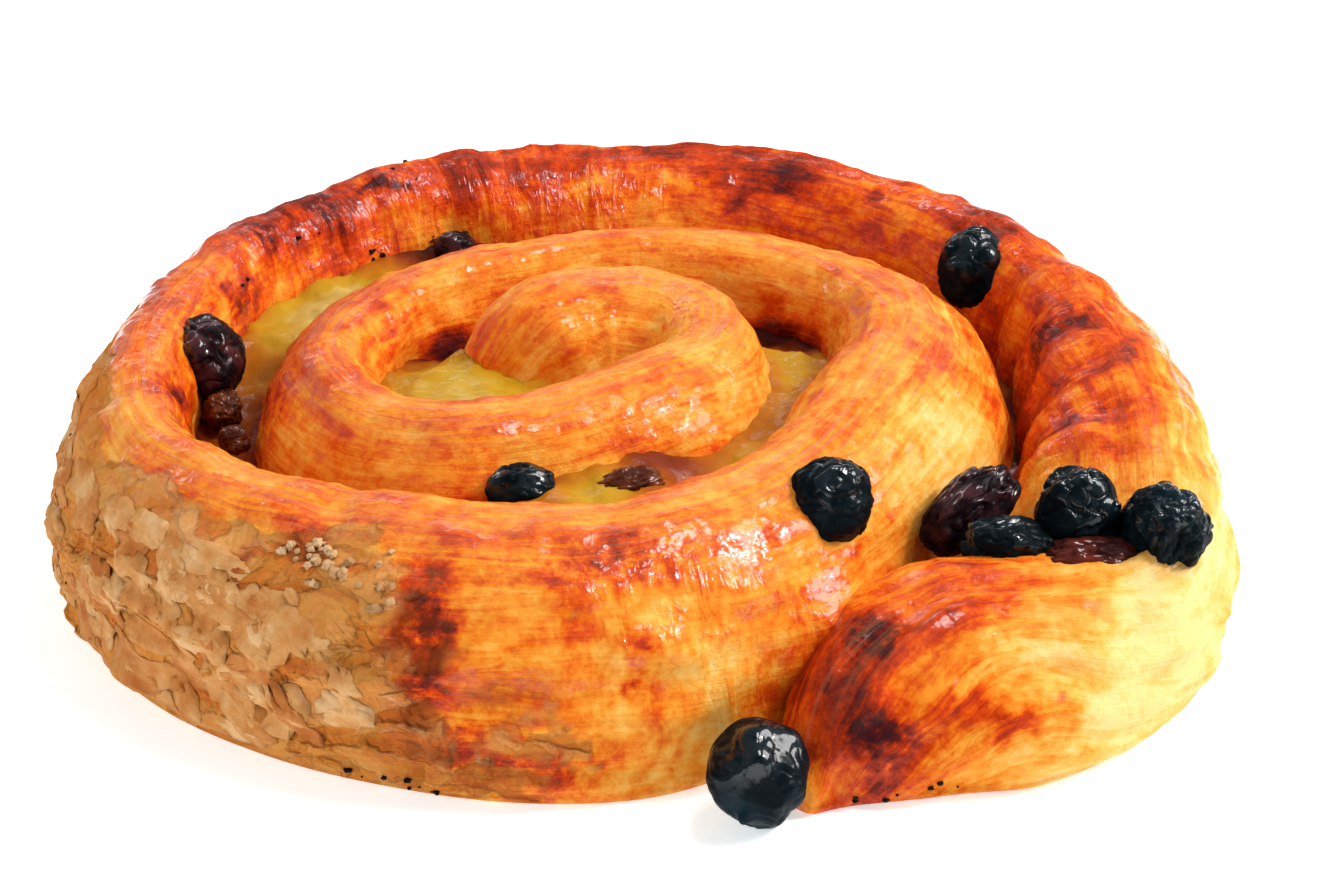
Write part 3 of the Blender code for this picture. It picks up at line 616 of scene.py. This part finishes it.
def make_raisin(name, centre, half, turn, lean, deep, rough, seed):
    """A dried grape: an egg with long wrinkles that wander and branch, a pinched stalk end and dents."""
    chance = random.Random(seed)
    clear_selection()
    bpy.ops.mesh.primitive_ico_sphere_add(subdivisions=6 if min(half) > 3 else 5, radius=1.0)
    obj = bpy.context.object
    obj.name = obj.data.name = "skin_of_" + name
    unit = coordinates(obj)
    unit /= np.linalg.norm(unit, axis=1)[:, None]
    folds, phase = chance.randint(5, 7), chance.uniform(0, 6.28)
    offset = Vector((chance.uniform(0, 50), chance.uniform(0, 50), 0))
    size = np.empty(len(unit))
    for n, (x, y, z) in enumerate(unit):
        u = Vector((x, y, z))
        around = math.atan2(z, y)
        wander = noise.noise_vector(u * 1.5 + offset) * 0.5
        w = Vector((x * 0.6, y, z)) + wander
        groove = max(0.0, 1 - abs(noise.noise(w * 2.1 + offset)) * 5.0)
        small = max(0.0, 1 - abs(noise.noise(w * 4.0 + offset)) * 3.0)
        dent = noise.noise(u * 1.9 + offset)
        lumps = noise.noise(u * 6.0 + offset)
        pinch = -0.12 * max(0.0, x - 0.8) / 0.2 + 0.2 * math.exp(-(1 - x) / 0.012)
        size[n] = (1 + 0.05 * math.sin(folds * around + phase + 1.5 * x) * (1 - x * x) + 0.10 * dent + pinch
                   - deep * (0.10 * groove ** 1.4 + 0.014 * small) + 0.03 * rough * lumps)
    p = unit * np.array(half) * size[:, None]
    a, b = math.radians(turn), math.radians(lean)
    x, z = p[:, 0] * math.cos(b) - p[:, 2] * math.sin(b), p[:, 0] * math.sin(b) + p[:, 2] * math.cos(b)
    x, y = x * math.cos(a) - p[:, 1] * math.sin(a), x * math.sin(a) + p[:, 1] * math.cos(a)
    place_points(obj, (np.stack([x, y, z], 1) + np.array(centre) + SHIFT) * MM)
    keep(obj, "stalk_end", smooth_step(0.75, 1.0, unit[:, 0]))
    keep(obj, "syrup", 0.08 + 0.92 * smooth_step(0.0, 0.6, z / half[2]))
    bpy.ops.object.shade_smooth()
    return obj


def nearest(tree, place):
    """The point of the crust nearest to a place in mm of the finished pastry, and the way out there."""
    found = tree.find_nearest(Vector(place) * MM, 0.03)
    return np.array(found[0]) / MM, np.array(found[1])


def make_flakes(tree):
    """Thin sheets that have come loose on the dry wall. Each is a disc with an uneven rim, laid on the crust
    and lifted along its lower side."""
    chance = random.Random(4)
    made = []
    for n in range(FLAKES):
        angle = math.radians(chance.triangular(*FLAKE_ANGLES))
        reach = np.array([64 * math.cos(angle) + 2, 60 * math.sin(angle), chance.uniform(*FLAKE_HEIGHTS)])
        point, out = nearest(tree, reach)
        along = np.cross([0, 0, 1.0], out)
        along /= np.linalg.norm(along)
        up = np.cross(out, along)
        spin = chance.uniform(-0.75, 0.1)
        along, up = (along * math.cos(spin) + up * math.sin(spin),
                     up * math.cos(spin) - along * math.sin(spin))
        clear_selection()
        bpy.ops.mesh.primitive_circle_add(vertices=18, radius=1.0, fill_type="NGON")
        obj = bpy.context.object
        edit_with(obj, np.ones(18, bool))
        bpy.ops.mesh.poke()
        bpy.ops.mesh.subdivide(number_cuts=2)
        bpy.ops.object.mode_set(mode="OBJECT")
        flat = coordinates(obj)
        length = chance.triangular(*FLAKE_LENGTHS)
        width = length * chance.uniform(0.4, 0.8)
        rim = 1 + 0.32 * noise_at(flat, 1.3, 5.0 * n, 2)
        u, v = flat[:, 0] * length * rim, flat[:, 1] * width * rim
        lift = chance.uniform(0.0, 0.25) * ((1 - flat[:, 1]) / 2) ** 3 + 0.12 * noise_at(flat, 1.6, 9.0 * n)
        spread = point + np.outer(u, along) + np.outer(v, up)
        laid = np.array([nearest(tree, place)[0] for place in spread])
        place_points(obj, (laid + np.outer(np.clip(lift, -0.05, 9), out)) * MM)
        keep(obj, "shade", np.full(len(flat), chance.random()))
        made.append(obj)
    return one_piece(made, "dough_flakes", FLAKE_THICKNESS)


def make_crumbs(tree, name, places, sizes, seed):
    """Crumbs stuck to the crust near each place, as little lumps."""
    chance = random.Random(seed)
    made = []
    for x, y, z, wide, count in places:
        for n in range(count):
            near = [c + flat * chance.uniform(-wide, wide) for c, flat in ((x, 1), (y, 1), (z, 0.6))]
            point, out = nearest(tree, near)
            clear_selection()
            bpy.ops.mesh.primitive_ico_sphere_add(subdivisions=3, radius=1.0)
            obj = bpy.context.object
            unit = coordinates(obj)
            size = chance.uniform(*sizes)
            lumps = 1 + 0.5 * noise_at(unit, 1.5, chance.uniform(0, 90), 3)
            stretch = [chance.uniform(0.7, 1.3), chance.uniform(0.7, 1.3), chance.uniform(0.5, 0.9)]
            place_points(obj, (point + out * size * 0.3 + unit * lumps[:, None] * size * stretch) * MM)
            keep(obj, "shade", np.full(len(unit), chance.random()))
            made.append(obj)
    return one_piece(made, name)


def one_piece(made, name, thickness=0.0):
    """Joins small pieces, and gives sheets among them their thickness."""
    clear_selection()
    for obj in made:
        obj.select_set(True)
    bpy.context.view_layer.objects.active = made[0]
    bpy.ops.object.join()
    obj = bpy.context.object
    obj.name = obj.data.name = name
    if thickness:
        modifier = obj.modifiers.new("thickness", "SOLIDIFY")
        modifier.thickness, modifier.offset = thickness, 1.0
        bpy.ops.object.modifier_apply(modifier=modifier.name)
        place_points(obj, coordinates(obj))
    bpy.ops.object.shade_smooth()
    return obj


def colour(text):
    """An sRGB hex value as linear red, green, blue and alpha."""
    parts = [int(text[k:k + 2], 16) / 255 for k in (1, 3, 5)]
    return (*[p / 12.92 if p <= 0.04045 else ((p + 0.055) / 1.055) ** 2.4 for p in parts], 1.0)


def plug(node, inputs):
    """Sets a node's inputs, found by name or number, each to a value or to another node's output."""
    for key, value in inputs.items():
        if isinstance(value, bpy.types.NodeSocket):
            node.id_data.links.new(value, node.inputs[key])
        else:
            node.inputs[key].default_value = value


def add(tree, kind, inputs=(), output=0, stops=(), **settings):
    """Adds a node with its settings and links, and gives one of its outputs. The inputs are a plain row, or a
    dictionary as for plug. The stops are those of a colour ramp."""
    node = tree.nodes.new("ShaderNode" + kind)
    for key, value in settings.items():
        setattr(node, key, value)
    plug(node, inputs if isinstance(inputs, dict) else dict(enumerate(inputs)))
    for place, shade in stops[2:]:
        node.color_ramp.elements.new(place)
    for element, (place, shade) in zip(node.color_ramp.elements if stops else (), sorted(stops)):
        element.position, element.color = place, colour(shade)
    return node.outputs[output]


def sum_of(node, total, *terms):
    """A value with each of the terms added, which are pairs to be multiplied."""
    for pair in terms:
        total = node("Math", (*pair, total), operation="MULTIPLY_ADD")
    return total


def product_of(node, first, *factors):
    for factor in factors:
        first = node("Math", (first, factor), operation="MULTIPLY")
    return first


def covered(node, under, *layers):
    """A colour with each of the layers laid over it, which are pairs of how much and what colour."""
    for amount, shade in layers:
        under = node("Mix", {0: amount, 6: under, 7: shade}, 2, data_type="RGBA")
    return under


def new_material(name):
    """Gives a new material, its shader, and the function that adds nodes to it."""
    material = bpy.data.materials.new(name)
    material.use_nodes = True
    tree = material.node_tree
    return material, tree.nodes["Principled BSDF"], partial(add, tree)


def crust_patterns(node):
    """The values kept on the crust and its noises, all as outputs of nodes."""
    p = SimpleNamespace()
    for name in CRUST:
        setattr(p, name, node("Attribute", output="Fac", attribute_name=name))
    # Turned, because the noises' cells would otherwise line up with the upright walls as a weave
    here = node("TexCoord", output="Object")
    laid = {"dough": node("Mapping", {"Vector": here, "Rotation": (0.6, 0.85, 0.4)})}
    strip = node("UVMap", uv_map="strip")
    for name, lengthwise, crosswise, turn in DRAWN_OUT:
        laid[name] = node("Mapping", {"Vector": strip, "Scale": (lengthwise, crosswise, 1.0),
                                      "Rotation": (0, 0, turn)})
    for name, where, scale, detail, roughness, distortion in CRUST_NOISES:
        setattr(p, name, node("TexNoise", {"Vector": laid[where], "Scale": scale, "Detail": detail,
                                           "Roughness": roughness, "Distortion": distortion}))
    p.rough = node("Math", (p.rough, 0.5), operation="SUBTRACT")
    p.pleats = product_of(node, node("Math", (p.ribs, 0.5), operation="SUBTRACT"), p.pleated)
    return p


def glazed_crust(node, p):
    """Crust brushed with egg and baked golden to red-brown, with thin streaks of its layers along the strip.
    On the crest they are laid over with pale peach, partly their own colour and partly painted sheen. Gives
    how brown it is, and its colour."""
    ragged_burn = node("MapRange", (sum_of(node, p.speck, (p.dapple, 0.35)), 0.46, 0.86, 0.25, 1.5))
    brown = sum_of(node, p.browned, (p.burnt, ragged_burn))
    lined = sum_of(node, 0.045, (p.bloom, 0.09))
    pulled = sum_of(node, 0.17, (p.pleated, -0.11))
    for texture, amount, sharp in ((p.blotch, 0.15, 0.14), (p.speck, 0.10, 0.09), (p.dapple, 0.07, 0.08),
                                   (p.drawn, pulled, 0.11), (p.layers, lined, 0.12)):
        contrast = node("MapRange", (texture, 0.5 - sharp, 0.5 + sharp, -0.5, 0.5))
        brown = sum_of(node, brown, (contrast, amount))
    brown = sum_of(node, brown, (p.pleats, 0.60))
    glazed = node("ValToRGB", (brown,), stops=[
        (0.0, "#fbd088"), (0.20, "#f8b552"), (0.34, "#f2952b"), (0.45, "#ea7211"), (0.54, "#dc4d05"),
        (0.62, "#c43604"), (0.72, "#9c2806"), (0.84, "#641711"), (1.0, "#3c1217")])
    # Pale peach over the layers on the crest: partly their own colour and partly painted sheen
    pale_streak_and_sheen = product_of(node, node("MapRange", (p.layers, 0.44, 0.62)), p.bloom, 0.5)
    return brown, covered(node, glazed, (pale_streak_and_sheen, colour("#eda070")))


def torn_sheets(node, height):
    """Cuts a height into sheets. Gives how far up in its sheet each place lies, and the sheet's own tint."""
    level = node("Math", (height,), operation="FLOOR")
    part = node("Math", (height, level), operation="SUBTRACT")
    return part, node("TexWhiteNoise", {"W": level}, noise_dimensions="1D")


def dry_crust(node, p, glazed, soft):
    """Papery crust without syrup: torn matt sheets, each of its own beige, with pale lips and dark feet,
    which are painted shade under the lip above, and brown holes between them. Gives its colour and its fine
    relief, which is laid over the soft one."""
    part, tint = torn_sheets(node, sum_of(node, p.sheets, (p.rough, 0.7)))
    small_part, small_tint = torn_sheets(node, product_of(node, p.small_sheets, 9.0))
    centred = node("Math", (p.speck, 0.5), operation="SUBTRACT")
    tone = sum_of(node, -0.08, (p.blotch, 0.8), (small_tint, 0.20), (centred, 0.5), (tint, 0.22))
    papery = node("ValToRGB", (tone,), stops=[(0.15, "#aa5f28"), (0.35, "#bf7b3c"), (0.55, "#cb9052"),
                                              (0.72, "#d6a56c"), (0.95, "#e4c190")])
    # The first pair paints the shade at each sheet's foot, under the next sheet's lip; the second gives the
    # pale lips
    for low, high, amount, shade in ((0.50, 1.0, 0.12, "#a9622a"), (0.14, 0.0, 0.25, "#f8e4bc")):
        edge = node("Mix", {0: 0.35, 2: node("MapRange", (part, low, high)),
                            3: node("MapRange", (small_part, low, high))})
        papery = covered(node, papery, (product_of(node, edge, amount), colour(shade)))
    hole = node("MapRange", (sum_of(node, p.holes, (p.rough, 0.9)), 0.12, 0.26))
    grainy = product_of(node, hole, node("MapRange", (p.grain, 0.3, 0.7, 0.6, 0.95)))
    papery = covered(node, papery, (grainy, colour("#bd6a2a")),
                     (node("MapRange", (p.burnt, 0.1, 0.35)), colour("#8a3812")), (0.25, glazed))
    stair, small_stair = (node("Math", (node("MapRange", (each, 0.0, lip)), each), operation="SUBTRACT")
                          for each, lip in ((part, 0.14), (small_part, 0.4)))
    return papery, sum_of(node, soft, (small_stair, 1.0), (stair, 1.5), (hole, -1.2))


def baked_dough_material():
    """Laminated dough, brushed with egg, baked and brushed with syrup. It gives the eye golden to red-brown
    crust under a thin, wet, uneven gloss, and matt beige sheets where it is dry."""
    material, shader, node = new_material("baked laminated dough, syrup glazed")
    p = crust_patterns(node)
    brown, glazed = glazed_crust(node, p)
    # Relief too fine for the mesh: layers 0.1 mm high and wrinkles where it is glazed, sheets 0.3 mm thick
    # where it is dry
    soft = sum_of(node, p.speck, (p.grain, 0.3), (p.layers, 0.4), (p.pleats, 1.1))
    papery, torn = dry_crust(node, p, glazed, soft)
    centred = node("Math", (p.blotch, 0.5), operation="SUBTRACT")
    ragged = sum_of(node, p.dry, (centred, 1.5), (p.rough, 0.8))
    dryness = node("MapRange", (ragged, 0.36, 0.62))
    pooled = sum_of(node, product_of(node, p.drawn, 0.4), (p.pooled, 0.6))
    syrup = product_of(node, p.wet, node("MapRange", (brown, 0.30, 0.60, 0.6, 1.4)),
                       node("MapRange", (brown, 0.70, 0.80, 0.75, 0.35)),
                       node("MapRange", (pooled, 0.468, 0.505, 0.12, 1.0)),
                       node("Math", (1.0, dryness), operation="SUBTRACT"))
    height = node("Mix", {0: dryness, 2: soft, 3: torn})
    wobble = sum_of(node, p.wide_ripple, (p.ripple, 0.30), (p.pleats, 1.3), (p.layers, 0.03))
    plug(shader, {"Base Color": covered(node, glazed, (dryness, papery)),
                  "Roughness": node("MapRange", (dryness, 0.0, 1.0, 0.42, 0.85)),
                  "Normal": node("Bump", {"Height": height, "Strength": 1.0, "Distance": 0.00045}),
                  "Coat Weight": syrup, "Coat Roughness": 0.05,
                  "Coat Normal": node("Bump", {"Height": wobble, "Strength": 1.0, "Distance": 0.0006}),
                  "Specular IOR Level": 0.05, "Subsurface Weight": 0.15,
                  "Subsurface Radius": (1.0, 0.35, 0.1), "Subsurface Scale": 0.002})
    return material


def custard_material():
    """Baked pastry cream, boiled, spread and baked in the dough. It gives the eye a translucent yellow, which
    is amber against the crust and painted dark brown as shade in the hollows where it has sunk away from the
    dough, with fine bubbles and a wet gloss."""
    material, shader, node = new_material("baked pastry cream")
    here = node("TexCoord", output="Object")
    amber_and_hollow_shade = node("Attribute", output="Fac", attribute_name="amber_and_hollow_shade")
    blotch = node("TexNoise", {"Vector": here, "Scale": 160.0, "Detail": 5.0, "Roughness": 0.6})
    centred = node("Math", (blotch, 0.5), operation="SUBTRACT")
    # The dark end of the ramp is painted shade in the hollows beside the dough
    shade = node("ValToRGB", (sum_of(node, amber_and_hollow_shade, (centred, 0.5)),), stops=[
        (0.0, "#bfa55a"), (0.12, "#b48c1e"), (0.25, "#b48412"), (0.4, "#b06c0a"), (0.6, "#a04e06"),
        (0.8, "#7a2a07"), (1.0, "#3a1005")])
    bubbles = node("TexVoronoi", {"Vector": here, "Scale": 480.0}, "Distance", feature="SMOOTH_F1")
    height = sum_of(node, blotch, (bubbles, 0.8))
    bump = node("Bump", {"Height": height, "Strength": 0.7, "Distance": 0.0007})
    plug(shader, {"Base Color": shade, "Roughness": 0.5, "Normal": bump,
                  "Coat Weight": node("MapRange", (amber_and_hollow_shade, 0.5, 0.9, 0.22, 0.05)), "Coat Roughness": 0.06,
                  "Coat Normal": bump, "Specular IOR Level": 0.1, "Subsurface Weight": 0.25,
                  "Subsurface Radius": (1.0, 0.6, 0.12), "Subsurface Scale": 0.0025})
    return material


def flake_material(name, shades):
    """Baked pastry, torn or crumbled. It gives the eye a matt, mottled bit with its own shade."""
    material, shader, node = new_material(name)
    here = node("TexCoord", output="Object")
    own = node("Attribute", output="Fac", attribute_name="shade")
    blotch = node("TexNoise", {"Vector": here, "Scale": 260.0, "Detail": 7.0, "Roughness": 0.65})
    mottled = node("MapRange", (blotch, 0.35, 0.65, -0.35, 0.35))
    raised = node("Math", (sum_of(node, mottled, (own, 0.6)), 0.2), operation="ADD")
    stops = [(k / (len(shades) - 1), shade) for k, shade in enumerate(shades)]
    plug(shader, {"Base Color": node("ValToRGB", (raised,), stops=stops), "Roughness": 0.75,
                  "Normal": node("Bump", {"Height": blotch, "Strength": 0.8, "Distance": 0.0004}),
                  "Specular IOR Level": 0.15})
    return material


def raisin_material(name, dark, light):
    """Skin of a grape, dried and baked. It gives the eye an almost black wax with syrup on the folds, and
    lighter scuffed spots."""
    material, shader, node = new_material(name)
    here = node("TexCoord", output="Object")
    stalk, syrup = (node("Attribute", output="Fac", attribute_name=name) for name in ("stalk_end", "syrup"))
    blotch = node("TexNoise", {"Vector": here, "Scale": 380.0, "Detail": 5.0, "Roughness": 0.6})
    mixed = sum_of(node, blotch, (stalk, 0.3))
    thick = node("MapRange", (blotch, 0.48, 0.55, 0.05, 0.95))
    grain = node("TexNoise", {"Vector": here, "Scale": 1300.0, "Detail": 3.0})
    plug(shader, {"Base Color": node("ValToRGB", (mixed,), stops=[(0.45, dark), (0.85, light)]),
                  "Roughness": 0.5, "Coat Weight": product_of(node, thick, syrup), "Coat Roughness": 0.07,
                  "Normal": node("Bump", {"Height": grain, "Strength": 0.5, "Distance": 0.0003}),
                  "Specular IOR Level": 0.05})
    return material


def dress(obj, material):
    obj.data.materials.clear()
    obj.data.materials.append(material)


def floor_and_light():
    clear_selection()
    bpy.ops.mesh.primitive_plane_add(size=6.0, location=(0, 0, -BOX_MARGIN))
    floor = bpy.context.object
    floor.name = "floor"
    material, shader, node = new_material("white table")
    plug(shader, {"Base Color": (0.9, 0.9, 0.9, 1), "Roughness": 0.9, "Specular IOR Level": 0.0,
                  "Emission Color": (0.9, 1, 1, 1), "Emission Strength": 0.55})
    dress(floor, material)

    # a pale room, brighter behind the table, with a tall window on the right
    world = bpy.data.worlds.new("studio")
    bpy.context.scene.world = world
    world.use_nodes = True
    node = partial(add, world.node_tree)
    behind = node("SeparateXYZ", (node("TexCoord", output="Generated"),), 1)
    plug(world.node_tree.nodes["Background"], {"Strength": node("MapRange", (behind, -0.2, 0.9, 0.25, 0.35)),
                                               "Color": (0.82, 0.94, 1.0, 1)})
    for name, place, size, watts, tint in LAMPS:
        data = bpy.data.lights.new(name, "AREA")
        data.shape, data.size, data.size_y = "RECTANGLE", size[0], size[1]
        data.energy, data.color = watts, tint
        lamp = bpy.data.objects.new(name, data)
        bpy.context.scene.collection.objects.link(lamp)
        lamp.visible_glossy = name != "front_left"  # only a fill
        lamp.location = place
        lamp.rotation_euler = (Vector((0, 0, 0.01)) - Vector(place)).to_track_quat("-Z", "Y").to_euler()


def camera():
    data = bpy.data.cameras.new("camera")
    data.lens, data.sensor_width, data.clip_start = LENS, SENSOR, 0.01
    obj = bpy.data.objects.new("camera", data)
    bpy.context.scene.collection.objects.link(obj)
    back = Vector((0, -math.cos(TILT), math.sin(TILT)))
    obj.location = Vector(LOOKED_AT) * MM + back * DISTANCE
    obj.rotation_euler = (math.pi / 2 - TILT, 0, 0)
    bpy.context.scene.camera = obj


def main():
    noise.seed_set(RAISIN_SEED)
    bpy.context.scene.view_settings.view_transform = "Standard"
    dough_look = baked_dough_material()
    skins = {"blue_black": raisin_material("raisin skin, blue-black", "#020b10", "#0c1e26"),
             "purple": raisin_material("raisin skin, purple-brown", "#12070a", "#5a2226"),
             "red": raisin_material("raisin skin, red-brown", "#2a0b08", "#8a2c14"),
             "brown": raisin_material("raisin skin, light brown", "#421807", "#8f4614")}
    dough = make_dough()
    dress(dough, dough_look)
    core = fold_core()
    dress(core, dough_look)
    tree = BVHTree.FromPolygons([tuple(v.co) for v in dough.data.vertices],
                                [tuple(p.vertices) for p in dough.data.polygons])
    custard = make_custard(tree)
    dress(custard, custard_material())
    small_things = [(make_flakes(tree),
                     flake_material("flakes of dry pastry", ["#ab5f28", "#be7b3f", "#c99157", "#d8ab7a"])),
                    (make_crumbs(tree, "pale_crumbs", PALE_CRUMBS, PALE_CRUMB_SIZES, 1),
                     flake_material("dry crumbs", ["#a5784c", "#bf9467", "#d3b08a"])),
                    (make_crumbs(tree, "burnt_crumbs", BURNT_CRUMBS, BURNT_CRUMB_SIZES, 2),
                     flake_material("burnt crumbs", ["#0c0706", "#24160e"]))]
    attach(dough, "root"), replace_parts(dough, "dough"), dough
    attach(core, "root"), core
    for piece, look in small_things:
        dress(piece, look)
        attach(piece, "root"), piece
    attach(custard, "root"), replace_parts(custard, "custard"), custard
    for seed, (name, centre, half, turn, lean, kind, deep, rough) in enumerate(RAISINS):
        skin = make_raisin(name, centre, half, turn, lean, deep, rough, seed)
        dress(skin, skins[kind])
        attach(skin, "root"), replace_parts(skin, name), skin
    floor_and_light()
    camera()


main()
